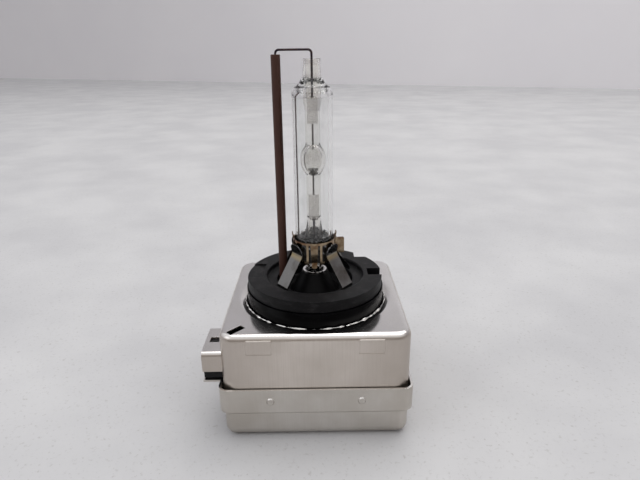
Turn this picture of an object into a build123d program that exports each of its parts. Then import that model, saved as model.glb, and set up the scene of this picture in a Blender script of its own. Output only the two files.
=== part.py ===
from build123d import *
import os
from math import cos, pi, radians, sin

# Gas-discharge headlight bulb on a square igniter box.
# The origin is on the lamp axis, at the flange's upper face, which is the reference plane of the lamp.
# +Z runs up to the glass tip, and the supply socket opens towards -X. All sizes are in millimetres.

# Glass burner, with heights above the reference plane
arc_height = 27.1
envelope_diameter = 8.7
envelope_wall = 0.9
shoulder_above_arc = 14.2
envelope_skirt = 3.5
seal_web_height = 8.3
stem_diameter = 3.9
stem_waist_diameter = 3.2
stem_bore_diameter = 2.5
tip_above_arc = 20.9
stem_foot = -1.6
chamber_outer_diameter = 5.6
chamber_outer_length = 7.4
chamber_bore_diameter = 3.7
chamber_bore_length = 5.8
arc_gap = 4.2
electrode_diameter = 0.28
foil_width = 1.6
foil_thickness = 0.12
foil_length = 5.4
foil_to_arc = 7.8
lead_diameter = 0.6
weld_bead_diameter = 0.8
weld_above_arc = 16.5

# Return conductor beside the glass
return_wire_diameter = 0.48
return_wire_bend = 0.75
return_wire_above_arc = 22.65
return_tube_diameter = 2.0
return_tube_bore = 0.9
return_tube_above_arc = 21.75
return_x = -7.55
return_y = 1.5

# Spring-steel clamp around the glass
clamp_gap = 0.35
clamp_sheet = 0.25
clamp_bottom = 3.9
clamp_top = 9.0
finger_top_width = 1.8
finger_tip_width = 1.2
finger_bottom = 2.9
slot_width = 0.4
bar_width = 0.5
window_width = 1.0
window_corner = 0.3
window_bottom = 4.5
window_top = 8.5
ear_reach = 2.1
ear_height = 3.8
ear_middle = 6.7
ear_corner = 0.25
ear_angle = 6
tab_height = 1.2
tab_width = 1.3
strap_width = 3.7
strap_sheet = 0.3
strap_angle = 39
strap_pad_top = 8.4
strap_pad_bottom = 5.4
strap_pad_lean = 0.8
strap_elbow_rise = 0.4
strap_press = 0.2
strap_foot_radius = 9.62
strap_foot_depth = 2.9

# Flange and its boss
flange_diameter = 31.7
flange_thickness = 2.6
recess_diameter = 22.8
ledge_bore_diameter = 17.8
ledge_depth = 1.2
recess_floor = 1.4
boss_top = 0.6
boss_top_diameter = 6.2
boss_foot_diameter = 11.4
rib_count = 36
rib_width = 0.28
rib_reach = 0.3
key_slot_width = 3.7
key_slot_inner_radius = 12.5
corner_notch_x = 10.05
corner_notch_y = 9.3
side_pocket_depth = 0.35
side_pocket_length = 7.8
side_pocket_y = 1.4
side_pocket_rim = 0.6
crown_diameter = 5.6
crown_bore_gap = 0.17
crown_height = 0.4
crown_notch_depth = 0.25
crown_notches = 16

# Igniter box of two pressed shells
can_drop = 5.4
box_shoulder = 4.45
box_height = 25.4
can_sheet = 0.4
can_corner = 3.4
can_bend = 1.4
can_hole_gap = 0.25
rim_drop = 0.6
rim_width = 2.2
rim_bend = 1.5
lid_sheet = 0.5
lid_gap = 0.2
lid_corner = 2.2
lid_bottom_round = 2.3
lid_tray_height = 7.1
lid_band_height = 5.65
lid_step = 0.8
pad_width = 5.7
pad_height = 3.5
pad_spacing = 23.6
pad_drop = 0.85
pad_rise = 0.2
pad_taper = 55
pip_diameter = 1.8
pip_rise = 0.3
pip_spacing = 19.6
corner_slot_length = 3.9
corner_slot_width = 1.65
corner_slot_radius = 24.05
corner_slot_angle = 225.9

# Supply socket
shroud_width = 11.4
shroud_reach = 4.4
shroud_height = 6.75
shroud_side_height = 4.6
shroud_bend = 1.0
shroud_centre_y = -11.25
latch_window = 2.1
latch_window_inset = 1.0
socket_wall = 0.8
socket_depth = 11.0
socket_back = 2.0
pin_count = 3
pin_pitch = 2.8
pin_height = 1.6
pin_thickness = 0.6
pin_reach = 5.2

# Plastic igniter housing and what it holds
slip = 0.1
seat_gap = 0.2
neck_rim = 0.3
neck_wall = 2.65
housing_gap = 0.4
housing_wall = 1.4
housing_plate = 1.6
cover_plate = 2.0
board_lift = 1.0
board_thickness = 1.6
board_corner = 2.0
board_gap = 0.3
post_inset = 3.0
post_radius = 1.2
bobbin_flange_diameter = 16.6
bobbin_tube_diameter = 8.0
core_diameter = 6.0
winding_diameter = 14.2
winding_sections = 5
bobbin_flange_thickness = 0.9
bobbin_end_gap = 3.0
bobbin_gap = 0.6
bobbin_lift = 0.05
primary_foil = 0.4
strip_width = 2.0
strip_thickness = 0.4
spark_gap_diameter = 8.0
spark_gap_length = 5.6
spark_cap_length = 0.7
spark_cap_rim = 0.5
spark_gap_chamfer = 0.3
spark_gap_inset_x = 6.2
spark_gap_inset_y = 4.8
spark_gap_lift = 0.6
capacitor_length = 14.0
capacitor_width = 6.0
capacitor_height = 10.0
capacitor_corner = 0.6
capacitor_x = 0.5
capacitor_inset = 0.8
resistor_diameter = 2.4
resistor_length = 6.5
resistor_end_round = 0.4
resistor_leg_reach = 1.5
resistor_inset = 5.6
resistor_lift = 0.3
choke_flange_diameter = 6.6
choke_core_diameter = 3.0
choke_height = 6.2
choke_flange = 0.9
choke_winding_rim = 0.3
choke_inset_x = 4.4
choke_inset_y = 5.2
component_lead_diameter = 0.8
terminal_gap = 0.4
terminal_cup_depth = 1.6
return_cup_depth = 1.2
return_cup_radius = 0.8
return_foot_reach = 2.8
pin_setback = 1.4

# Sizes and levels worked out from the values above
envelope_shoulder = arc_height + shoulder_above_arc
stem_tip = arc_height + tip_above_arc
weld_height = arc_height + weld_above_arc
return_wire_top = arc_height + return_wire_above_arc
return_tube_top = arc_height + return_tube_above_arc
envelope_radius = envelope_diameter / 2
envelope_bore = envelope_radius - envelope_wall
stem_radius = stem_diameter / 2
electrode_radius = electrode_diameter / 2
lead_radius = lead_diameter / 2
wire_radius = return_wire_diameter / 2
upper_foil_start = arc_height + foil_to_arc
upper_foil_end = upper_foil_start + foil_length
lower_foil_end = arc_height - foil_to_arc
lower_foil_start = lower_foil_end - foil_length
clamp_inner = envelope_radius + clamp_gap
clamp_outer = clamp_inner + clamp_sheet
flange_radius = flange_diameter / 2
neck_radius = flange_radius + neck_rim
neck_bore = neck_radius - neck_wall
recess_radius = recess_diameter / 2
recess_depth = can_drop - recess_floor
can_half = flange_radius + box_shoulder
can_top = -can_drop
box_bottom = can_top - box_height
band_bottom = box_bottom + lid_tray_height
band_top = band_bottom + lid_band_height
band_half = can_half + lid_gap + lid_sheet
tray_half = band_half - lid_step
can_hole_radius = neck_radius + can_hole_gap
can_edge = band_bottom + lid_sheet + seat_gap
housing_top = can_top - can_sheet - rim_drop - seat_gap
housing_half = tray_half - lid_sheet - seat_gap
housing_inner = housing_half - housing_wall
housing_ceiling = housing_top - housing_plate
cover_bottom = box_bottom + lid_sheet + seat_gap
cover_top = cover_bottom + cover_plate
board_bottom = cover_top + board_lift
board_top = board_bottom + board_thickness
shroud_top = band_top + shroud_height
shroud_mouth = -(can_half + shroud_reach)
socket_half = shroud_width / 2 - can_sheet - slip
socket_top = shroud_top - can_sheet - slip
socket_bottom = band_top + slip
socket_mouth = shroud_mouth + seat_gap
socket_rear = socket_mouth + socket_depth + socket_back

os.makedirs("parts", exist_ok=True)


def radial_plane(angle):
    """Upright plane through the lamp axis: local x points outwards at this angle, local y points up."""
    turn = radians(angle)
    return Plane(origin=(0, 0, 0), x_dir=(cos(turn), sin(turn), 0), z_dir=(sin(turn), -cos(turn), 0))


def facing_plane(angle, distance=0):
    """Upright plane that faces outwards at this angle: local x runs sideways, local y points up."""
    turn = radians(angle)
    outward = (cos(turn), sin(turn), 0)
    return Plane(origin=(0, 0, 0), x_dir=(-sin(turn), cos(turn), 0), z_dir=outward).offset(distance)


# Outer glass envelope, fused to the inner tube at the shoulder and at the seal web
with BuildPart() as outer_envelope:
    with BuildSketch(Plane.XZ):
        with BuildLine():
            FilletPolyline(
                (envelope_bore, envelope_skirt),
                (envelope_radius, envelope_skirt),
                (envelope_radius, envelope_shoulder + 1.0),
                (stem_radius + 0.9, envelope_shoulder + 1.5),
                (stem_radius + 0.1, envelope_shoulder + 3.0),
                (stem_radius, envelope_shoulder + 3.0),
                (stem_radius, envelope_shoulder + 1.3),
                (stem_radius + 0.7, envelope_shoulder + 0.6),
                (envelope_bore, envelope_shoulder - 0.4),
                (envelope_bore, seal_web_height + 0.9),
                (stem_radius, seal_web_height + 0.6),
                (stem_radius, seal_web_height - 0.9),
                (envelope_bore, seal_web_height - 1.1),
                radius=[0.3, 0.3, 1.0, 0.9, 0, 0, 0, 0.3, 0.6, 0.6, 0, 0, 0.6],
                close=True,
            )
        make_face()
    revolve(axis=Axis.Z)
outer_envelope.part.label = "outer_envelope"
export_step(outer_envelope.part, "parts/outer_envelope.step")

# Inner quartz tube with the arc chamber, hollow at both ends where the leads leave it
with BuildPart() as arc_tube:
    with BuildSketch(Plane.XZ):
        with BuildLine():
            FilletPolyline(
                (0, stem_foot),
                (stem_radius, stem_foot),
                (stem_radius, seal_web_height + 2.0),
                (stem_waist_diameter / 2, seal_web_height + 5.0),
                (stem_waist_diameter / 2, envelope_shoulder - 4.0),
                (stem_radius, envelope_shoulder - 1.0),
                (stem_radius, envelope_shoulder + 3.2),
                (stem_radius - 0.25, stem_tip - 0.8),
                (stem_radius - 0.1, stem_tip),
                (0, stem_tip),
                radius=[0, 3, 3, 3, 3, 3, 1, 0.15],
            )
            Line((0, stem_tip), (0, stem_foot))
        make_face()
        with Locations((0, arc_height)):
            Ellipse(chamber_outer_diameter / 2, chamber_outer_length / 2)
        with Locations((-envelope_radius, arc_height)):
            Rectangle(2 * envelope_radius, 2 * stem_tip, mode=Mode.SUBTRACT)
        with Locations((0, arc_height)):
            Ellipse(chamber_bore_diameter / 2, chamber_bore_length / 2, mode=Mode.SUBTRACT)
        with Locations((0, (stem_foot + lower_foil_start) / 2)):
            Rectangle(stem_bore_diameter, lower_foil_start - stem_foot, mode=Mode.SUBTRACT)
        with Locations((0, (upper_foil_end + stem_tip) / 2)):
            Rectangle(stem_bore_diameter, stem_tip - upper_foil_end, mode=Mode.SUBTRACT)
        with Locations((0, arc_height)):
            Rectangle(electrode_diameter, 2 * foil_to_arc, mode=Mode.SUBTRACT)
    revolve(axis=Axis.Z)
    with BuildSketch(Plane.XY.offset(lower_foil_start)):
        Rectangle(foil_width, foil_thickness)
    extrude(amount=foil_length, mode=Mode.SUBTRACT)
    with BuildSketch(Plane.XY.offset(upper_foil_start)):
        Rectangle(foil_width, foil_thickness)
    extrude(amount=foil_length, mode=Mode.SUBTRACT)
arc_tube.part.label = "arc_tube"
export_step(arc_tube.part, "parts/arc_tube.step")

# Tungsten electrodes, one on each side of the arc
electrode_spans = {
    "lower_electrode": (lower_foil_end, arc_height - arc_gap / 2),
    "upper_electrode": (arc_height + arc_gap / 2, upper_foil_start),
}
for electrode_name, (span_start, span_end) in electrode_spans.items():
    with BuildPart() as electrode:
        with BuildSketch(Plane.XY.offset(span_start)):
            Circle(electrode_radius)
        extrude(amount=span_end - span_start)
    electrode.part.label = electrode_name
    export_step(electrode.part, f"parts/{electrode_name}.step")

# Sealing foils, their broad faces to the front
for foil_name, foil_start in {"lower_foil": lower_foil_start, "upper_foil": upper_foil_start}.items():
    with BuildPart() as foil:
        with BuildSketch(Plane.XY.offset(foil_start)):
            Rectangle(foil_width, foil_thickness)
        extrude(amount=foil_length)
    foil.part.label = foil_name
    export_step(foil.part, f"parts/{foil_name}.step")

# Upper lead, with the weld bead that joins it to the return wire
with BuildPart() as upper_lead:
    with BuildSketch(Plane.XY.offset(upper_foil_end)):
        Circle(wire_radius)
    extrude(amount=weld_height - upper_foil_end)
    with Locations((0, 0, weld_height - weld_bead_diameter / 3)):
        Sphere(weld_bead_diameter / 2)
    split(bisect_by=Plane.XY.offset(weld_height), keep=Keep.BOTTOM)
upper_lead.part.label = "upper_lead"
export_step(upper_lead.part, "parts/upper_lead.step")

# Lower lead, from the foil down into the high-voltage terminal
terminal_top = housing_ceiling - terminal_gap
terminal_strip = terminal_top - terminal_cup_depth
with BuildPart() as lower_lead:
    with BuildSketch(Plane.XY.offset(terminal_strip)):
        Circle(lead_radius)
    extrude(amount=lower_foil_start - terminal_strip)
lower_lead.part.label = "lower_lead"
export_step(lower_lead.part, "parts/lower_lead.step")

# Return wire, from the weld over the top and down through its insulating tube
return_cup_top = housing_ceiling - terminal_gap
return_strip = return_cup_top - return_cup_depth
with BuildPart() as return_wire:
    with BuildLine():
        FilletPolyline(
            (0, 0, weld_height),
            (0, 0, return_wire_top),
            (return_x, return_y, return_wire_top),
            (return_x, return_y, return_strip),
            radius=return_wire_bend,
        )
    with BuildSketch(Plane.XY.offset(weld_height)):
        Circle(wire_radius)
    sweep()
return_wire.part.label = "return_wire"
export_step(return_wire.part, "parts/return_wire.step")

# Ceramic tube that insulates the return wire
with BuildPart() as ceramic_tube:
    with BuildSketch(Plane.XY.offset(housing_top)):
        with Locations((return_x, return_y)):
            Circle(return_tube_diameter / 2)
            Circle(return_tube_bore / 2, mode=Mode.SUBTRACT)
    extrude(amount=return_tube_top - housing_top)
    chamfer(ceramic_tube.edges().group_by(Axis.Z)[-1], length=0.12)
ceramic_tube.part.label = "ceramic_tube"
export_step(ceramic_tube.part, "parts/ceramic_tube.step")

# One spring finger at the front of the clamp: it leans in until it rests on the glass
finger_lean = clamp_gap - 0.04
finger_outer = clamp_outer - 0.03
finger_inner = finger_outer - clamp_sheet + 0.05
with BuildPart() as finger:
    with BuildSketch(Plane.XZ):
        with BuildLine():
            FilletPolyline(
                (finger_outer, window_top + 0.2),
                (finger_outer - finger_lean, finger_bottom + 1.4),
                (finger_outer - finger_lean * 0.6, finger_bottom),
                (finger_inner - finger_lean * 0.6, finger_bottom),
                (finger_inner - finger_lean, finger_bottom + 1.4),
                (finger_inner, window_top + 0.2),
                radius=[0, 1.5, 0, 0, 1.5, 0],
                close=True,
            )
        make_face()
    extrude(amount=finger_top_width / 2, both=True)
    with BuildSketch(Plane.YZ):
        with BuildLine():
            FilletPolyline(
                (-finger_top_width / 2, window_top + 1.0),
                (-finger_tip_width / 2, finger_bottom),
                (finger_tip_width / 2, finger_bottom),
                (finger_top_width / 2, window_top + 1.0),
                radius=[0, 0.45, 0.45, 0],
                close=True,
            )
        make_face()
    extrude(amount=2 * clamp_outer, mode=Mode.INTERSECT)

# Clamp collar: a pierced ring with three fingers, closed by an ear of its two bent-out ends
finger_angles = (90, 180, 270)
with BuildPart() as clamp_collar:
    with BuildSketch(Plane.XY.offset(clamp_bottom)):
        Circle(clamp_outer)
        Circle(clamp_inner, mode=Mode.SUBTRACT)
    extrude(amount=clamp_top - clamp_bottom)
    for finger_angle in finger_angles:
        with BuildSketch(facing_plane(finger_angle)):
            with Locations((0, (clamp_bottom - 0.5 + window_top) / 2)):
                Rectangle(finger_top_width + 2 * slot_width, window_top - clamp_bottom + 0.5)
            side = finger_top_width / 2 + slot_width + bar_width + window_width / 2
            with Locations((0, (window_top + window_bottom) / 2)):
                with GridLocations(2 * side, 0, 2, 1):
                    RectangleRounded(window_width, window_top - window_bottom, window_corner)
        extrude(amount=2 * clamp_outer, mode=Mode.SUBTRACT)
        add(finger.part.rotate(Axis.Z, finger_angle))
    with BuildSketch(radial_plane(ear_angle)):
        with Locations((clamp_outer + ear_reach / 2 - clamp_sheet / 2, ear_middle)):
            RectangleRounded(ear_reach + clamp_sheet / 2, ear_height, ear_corner)
    extrude(amount=clamp_sheet, both=True)
    for tab_angle in (ear_angle, 180):
        with BuildSketch(radial_plane(tab_angle)):
            with BuildLine():
                FilletPolyline(
                    (finger_inner, clamp_top - 0.4),
                    (finger_outer, clamp_top - 0.4),
                    (finger_outer, clamp_top),
                    (finger_outer + 0.25, clamp_top + tab_height),
                    (finger_inner + 0.25, clamp_top + tab_height),
                    (finger_inner, clamp_top),
                    radius=0,
                    close=True,
                )
            make_face()
        extrude(amount=tab_width / 2, both=True)
clamp_collar.part.label = "clamp_collar"
export_step(clamp_collar.part, "parts/clamp_collar.step")

# Four straps: a free end that leans out, a bend welded to the collar, then a flat leg down to the ledge
strap_angles = (-strap_angle, strap_angle, 180 - strap_angle, 180 + strap_angle)
strap_foot = -strap_foot_depth
strap_bend_radius = clamp_outer + strap_sheet - strap_press
for strap_number, angle in enumerate(strap_angles, start=1):
    with BuildPart() as clamp_strap:
        with BuildSketch(radial_plane(angle)):
            with BuildLine():
                FilletPolyline(
                    (strap_bend_radius + strap_pad_lean, strap_pad_top),
                    (strap_bend_radius, strap_pad_bottom + strap_elbow_rise),
                    (strap_foot_radius, strap_elbow_rise - ledge_depth),
                    (strap_foot_radius, strap_foot),
                    radius=[0.9, 0.5],
                )
                offset(amount=strap_sheet, side=Side.RIGHT)
            make_face()
        extrude(amount=strap_width / 2, both=True)
        with BuildSketch(facing_plane(angle)):
            with Locations((0, (strap_pad_top + strap_foot) / 2)):
                Rectangle(strap_width, strap_pad_top - strap_foot)
            fillet(vertices().group_by(Axis.Y)[-1], radius=strap_width * 0.42)
        extrude(amount=2 * strap_foot_radius, mode=Mode.INTERSECT)
        with BuildSketch(Plane.XY.offset(strap_foot)):
            Circle(clamp_outer)
        extrude(amount=clamp_top - strap_foot, mode=Mode.SUBTRACT)
    clamp_strap.part.label = f"clamp_strap_{strap_number}"
    export_step(clamp_strap.part, f"parts/clamp_strap_{strap_number}.step")

# Base flange: notched ring, stepped recess and the ribbed boss that carries the glass stem
strap_pocket_radius = strap_foot_radius - strap_sheet / 2
pocket_length = strap_width + 2 * slip
with BuildPart() as base_flange:
    with BuildSketch(Plane.XZ):
        with BuildLine():
            FilletPolyline(
                (0, boss_top),
                (boss_top_diameter / 2, boss_top),
                (boss_foot_diameter / 2, -recess_depth),
                (ledge_bore_diameter / 2, -recess_depth),
                (ledge_bore_diameter / 2, -ledge_depth),
                (recess_radius, -ledge_depth),
                (recess_radius, 0),
                (flange_radius, 0),
                (flange_radius, -flange_thickness),
                (neck_bore - slip, -flange_thickness),
                (neck_bore - slip, can_top),
                (0, can_top),
                radius=[0.3, 0.5, 0.5, 0.2, 0.2, 0.3, 0, 0.15, 0, 0.3],
            )
            Line((0, can_top), (0, boss_top))
        make_face()
    revolve(axis=Axis.Z)
    # Fine upright ribs around the boss
    with BuildSketch(radial_plane(0)) as rib_outline:
        with BuildLine():
            Polyline(
                (boss_top_diameter / 2 - 0.8, -0.3),
                (boss_top_diameter / 2 + rib_reach * 0.3, -0.3),
                (boss_foot_diameter / 2 + rib_reach, -recess_depth - 0.2),
                (boss_top_diameter / 2 - 0.8, -recess_depth - 0.2),
                close=True,
            )
        make_face()
    for rib in range(rib_count):
        with BuildSketch(radial_plane(rib * 360 / rib_count)):
            add(rib_outline.sketch_local)
        extrude(amount=rib_width / 2, both=True)
    # Bores for the glass stem, the lower lead and the return tube
    with BuildSketch(Plane.XY.offset(stem_foot)):
        Circle(stem_radius + slip)
    extrude(amount=boss_top - stem_foot, mode=Mode.SUBTRACT)
    with BuildSketch(Plane.XY.offset(can_top)):
        Circle(lead_radius + slip)
        with Locations((return_x, return_y)):
            Circle(return_tube_diameter / 2 + slip)
    extrude(amount=recess_depth, mode=Mode.SUBTRACT)
    # Pockets that hold the four strap feet
    for angle in strap_angles:
        with BuildSketch(Plane.XY.offset(strap_foot)):
            with PolarLocations(strap_pocket_radius, 1, start_angle=angle):
                Rectangle(strap_sheet + 2 * slip, pocket_length)
        extrude(amount=strap_foot_depth, mode=Mode.SUBTRACT)
    # Key slot, corner notch and shallow side pocket in the ring
    with BuildSketch(Plane.XY.offset(-flange_thickness)):
        with Locations(((key_slot_inner_radius + flange_diameter) / 2, 0)):
            Rectangle(flange_diameter - key_slot_inner_radius, key_slot_width)
        with Locations((corner_notch_x + flange_radius / 2, corner_notch_y + flange_radius / 2)):
            Rectangle(flange_radius, flange_radius)
    extrude(amount=flange_thickness, mode=Mode.SUBTRACT)
    with BuildSketch(Plane.XY.offset(-side_pocket_depth)):
        with Locations((-flange_radius, side_pocket_y)):
            Rectangle(2 * (flange_radius - recess_radius - side_pocket_rim), side_pocket_length)
    extrude(amount=side_pocket_depth, mode=Mode.SUBTRACT)
base_flange.part.label = "base_flange"
export_step(base_flange.part, "parts/base_flange.step")

# Bright notched ring that centres the glass stem on the boss
crown_radius = crown_diameter / 2
crown_bore = stem_radius + crown_bore_gap
with BuildPart() as stem_crown:
    with BuildSketch(Plane.XY.offset(boss_top)):
        Circle(crown_radius)
        Circle(crown_bore, mode=Mode.SUBTRACT)
        with PolarLocations(crown_bore, crown_notches):
            Rectangle(2 * crown_notch_depth, crown_bore * pi / crown_notches, mode=Mode.SUBTRACT)
    extrude(amount=crown_height)
stem_crown.part.label = "stem_crown"
export_step(stem_crown.part, "parts/stem_crown.step")

# Upper shell: a deep-drawn square can, pierced for the neck, with the socket shroud on its -X side
shroud_inner = shroud_width - 2 * can_sheet
with BuildPart() as can_void:
    with BuildSketch(Plane.XY.offset(can_edge)):
        RectangleRounded(2 * (can_half - can_sheet), 2 * (can_half - can_sheet), can_corner - can_sheet)
    extrude(amount=can_top - can_sheet - can_edge)
    fillet(can_void.faces().sort_by(Axis.Z)[-1].edges(), radius=can_bend - can_sheet)

with BuildPart() as upper_can:
    with BuildSketch(Plane.XY.offset(can_edge)):
        RectangleRounded(2 * can_half, 2 * can_half, can_corner)
    extrude(amount=can_top - can_edge)
    fillet(upper_can.faces().sort_by(Axis.Z)[-1].edges(), radius=can_bend)
    # Raised pads on the front and back walls
    for wall_angle in (90, 270):
        with BuildSketch(facing_plane(wall_angle, can_half)):
            with Locations((0, can_top - pad_drop - pad_height / 2)):
                with GridLocations(pad_spacing, 0, 2, 1):
                    RectangleRounded(pad_width, pad_height, 0.4)
        extrude(amount=pad_rise, taper=pad_taper)
    # Shroud that stands out around the supply socket
    with BuildSketch(Plane.YZ.offset(shroud_mouth)):
        with Locations((shroud_centre_y, shroud_top - shroud_side_height / 2)):
            Rectangle(shroud_width, shroud_side_height)
        fillet(vertices().group_by(Axis.Y)[-1], radius=shroud_bend)
    extrude(amount=shroud_reach + can_corner)
    add(can_void.part, mode=Mode.SUBTRACT)
    with BuildSketch(Plane.YZ.offset(shroud_mouth)):
        with Locations((shroud_centre_y, (shroud_top - can_sheet + can_edge) / 2)):
            Rectangle(shroud_inner, shroud_top - can_sheet - can_edge)
        fillet(vertices().group_by(Axis.Y)[-1], radius=shroud_bend - can_sheet)
    extrude(amount=shroud_reach + can_corner, mode=Mode.SUBTRACT)
    # The neck hole, the corner slot, and the rim that dips towards the neck
    with BuildSketch(Plane.XY.offset(can_top - 2 * can_sheet)):
        Circle(can_hole_radius + rim_width)
        with PolarLocations(corner_slot_radius, 1, start_angle=corner_slot_angle):
            Rectangle(corner_slot_length, corner_slot_width)
    extrude(amount=4 * can_sheet, mode=Mode.SUBTRACT)
    with BuildSketch(Plane.XZ):
        with BuildLine():
            FilletPolyline(
                (can_hole_radius + rim_width, can_top),
                (can_hole_radius + rim_width - rim_bend / 2, can_top),
                (can_hole_radius, can_top - rim_drop),
                (can_hole_radius, can_top - rim_drop - can_sheet),
                (can_hole_radius + rim_width - rim_bend / 2, can_top - can_sheet),
                (can_hole_radius + rim_width, can_top - can_sheet),
                radius=[0, rim_bend, 0, 0, rim_bend, 0],
                close=True,
            )
        make_face()
    revolve(axis=Axis.Z)
    # The latch window
    with BuildSketch(Plane.XY.offset(shroud_top - 2 * can_sheet)):
        with Locations((shroud_mouth + latch_window_inset + latch_window / 2, shroud_centre_y)):
            Rectangle(latch_window, latch_window)
    extrude(amount=4 * can_sheet, mode=Mode.SUBTRACT)
upper_can.part.label = "upper_can"
export_step(upper_can.part, "parts/upper_can.step")

# Lower shell: a shallow tray whose wider band laps over the can, with locking pips and a socket tongue
with BuildPart() as lid_void:
    with BuildSketch(Plane.XY.offset(box_bottom + lid_sheet)):
        RectangleRounded(2 * (tray_half - lid_sheet), 2 * (tray_half - lid_sheet), lid_corner - lid_sheet)
    extrude(amount=lid_tray_height)
    fillet(lid_void.faces().sort_by(Axis.Z)[0].edges(), radius=lid_bottom_round - lid_sheet)
    with BuildSketch(Plane.XY.offset(band_bottom + lid_sheet)):
        RectangleRounded(2 * (band_half - lid_sheet), 2 * (band_half - lid_sheet), lid_corner - lid_sheet)
    extrude(amount=lid_band_height)

with BuildPart() as lower_lid:
    with BuildSketch(Plane.XY.offset(box_bottom)):
        RectangleRounded(2 * tray_half, 2 * tray_half, lid_corner)
    extrude(amount=band_top - box_bottom)
    with BuildSketch(Plane.XY.offset(band_bottom)):
        RectangleRounded(2 * band_half, 2 * band_half, lid_corner)
    extrude(amount=lid_band_height)
    fillet(lower_lid.faces().sort_by(Axis.Z)[0].edges(), radius=lid_bottom_round)
    with BuildSketch(Plane.XY.offset(band_bottom)):
        RectangleRounded(2 * band_half, 2 * band_half, lid_corner)
    extrude(amount=-lid_step * 0.9, taper=45)
    for wall_angle in (0, 90, 180, 270):
        with BuildSketch(facing_plane(wall_angle, band_half)):
            with Locations((0, (band_top + band_bottom) / 2)):
                with GridLocations(pip_spacing, 0, 2, 1):
                    Circle(pip_diameter / 2)
        extrude(amount=pip_rise, taper=40)
    add(lid_void.part, mode=Mode.SUBTRACT)
    tongue_length = lid_sheet - band_half - shroud_mouth
    with BuildSketch(Plane.XY.offset(band_top)):
        with Locations((shroud_mouth + tongue_length / 2, shroud_centre_y)):
            Rectangle(tongue_length, shroud_width)
    extrude(amount=-can_sheet)
lower_lid.part.label = "lower_lid"
export_step(lower_lid.part, "parts/lower_lid.step")

# Igniter housing: a plastic box with the neck ring that carries the flange
housing_corner = 3.2
with BuildPart() as igniter_housing:
    with BuildSketch(Plane.XY.offset(cover_top)):
        RectangleRounded(2 * housing_half, 2 * housing_half, housing_corner)
    extrude(amount=housing_top - cover_top)
    with BuildSketch(Plane.XY.offset(cover_top)):
        RectangleRounded(2 * housing_inner, 2 * housing_inner, housing_corner - housing_wall)
    extrude(amount=housing_ceiling - cover_top, mode=Mode.SUBTRACT)
    with BuildSketch(Plane.XY.offset(housing_top)):
        Circle(neck_radius)
        Circle(neck_bore, mode=Mode.SUBTRACT)
    extrude(amount=-flange_thickness - housing_top)
    with BuildSketch(Plane.XY.offset(housing_ceiling)):
        Circle(lead_radius + slip)
        with Locations((return_x, return_y)):
            Circle(wire_radius + slip)
    extrude(amount=housing_plate, mode=Mode.SUBTRACT)
    with BuildSketch(Plane.YZ.offset(-housing_half)):
        with Locations((shroud_centre_y, (socket_top + socket_bottom) / 2)):
            Rectangle(2 * (socket_half + slip), socket_top - socket_bottom + 2 * slip)
    extrude(amount=2 * housing_wall, mode=Mode.SUBTRACT)
igniter_housing.part.label = "igniter_housing"
export_step(igniter_housing.part, "parts/igniter_housing.step")

# Housing cover with four posts under the circuit board
transformer_y = housing_inner - bobbin_flange_diameter / 2 - bobbin_gap
board_front = board_gap - housing_inner
board_back = transformer_y - bobbin_flange_diameter / 2 - bobbin_gap
board_middle = (board_front + board_back) / 2
board_half_length = housing_inner - board_gap
post_spacing_y = board_back - board_front - 2 * post_inset
with BuildPart() as housing_cover:
    with BuildSketch(Plane.XY.offset(cover_bottom)):
        RectangleRounded(2 * housing_half, 2 * housing_half, housing_corner)
    extrude(amount=cover_plate)
    fillet(housing_cover.faces().sort_by(Axis.Z)[0].edges(), radius=lid_bottom_round - lid_sheet)
    with BuildSketch(Plane.XY.offset(cover_top)):
        with Locations((0, board_middle)):
            with GridLocations(2 * (board_half_length - post_inset), post_spacing_y, 2, 2):
                Circle(post_radius)
    extrude(amount=board_lift)
housing_cover.part.label = "housing_cover"
export_step(housing_cover.part, "parts/housing_cover.step")

# Socket body, open towards -X, with slots in its rear wall for the pins
socket_middle = (socket_top + socket_bottom) / 2
socket_tall = socket_top - socket_bottom
pin_offsets = [(number - (pin_count - 1) / 2) * pin_pitch for number in range(pin_count)]
with BuildPart() as connector_housing:
    with BuildSketch(Plane.YZ.offset(socket_mouth)):
        with Locations((shroud_centre_y, socket_middle)):
            RectangleRounded(2 * socket_half, socket_tall, 0.5)
    extrude(amount=socket_depth + socket_back)
    with BuildSketch(Plane.YZ.offset(socket_mouth)):
        with Locations((shroud_centre_y, socket_middle)):
            RectangleRounded(2 * (socket_half - socket_wall), socket_tall - 2 * socket_wall, 0.3)
    extrude(amount=socket_depth, mode=Mode.SUBTRACT)
    with BuildSketch(Plane.YZ.offset(socket_mouth)):
        for pin_offset in pin_offsets:
            with Locations((shroud_centre_y + pin_offset, socket_middle)):
                Rectangle(pin_height, pin_thickness)
    extrude(amount=socket_depth + socket_back, mode=Mode.SUBTRACT)
connector_housing.part.label = "connector_housing"
export_step(connector_housing.part, "parts/connector_housing.step")

# Supply pins: blades that turn down behind the socket and stand on the circuit board
pin_tip = socket_mouth + socket_depth - pin_reach
pin_drop_x = socket_rear + pin_setback
for pin_number, pin_offset in enumerate(pin_offsets, start=1):
    with BuildPart() as connector_pin:
        with BuildSketch(Plane.XZ.offset(-shroud_centre_y - pin_offset)):
            with BuildLine():
                FilletPolyline(
                    (pin_tip, socket_middle + pin_thickness / 2),
                    (pin_drop_x, socket_middle + pin_thickness / 2),
                    (pin_drop_x, board_top),
                    radius=1.0,
                )
                offset(amount=pin_thickness, side=Side.RIGHT)
            make_face()
        extrude(amount=pin_height / 2, both=True)
    connector_pin.part.label = f"connector_pin_{pin_number}"
    export_step(connector_pin.part, f"parts/connector_pin_{pin_number}.step")

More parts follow.
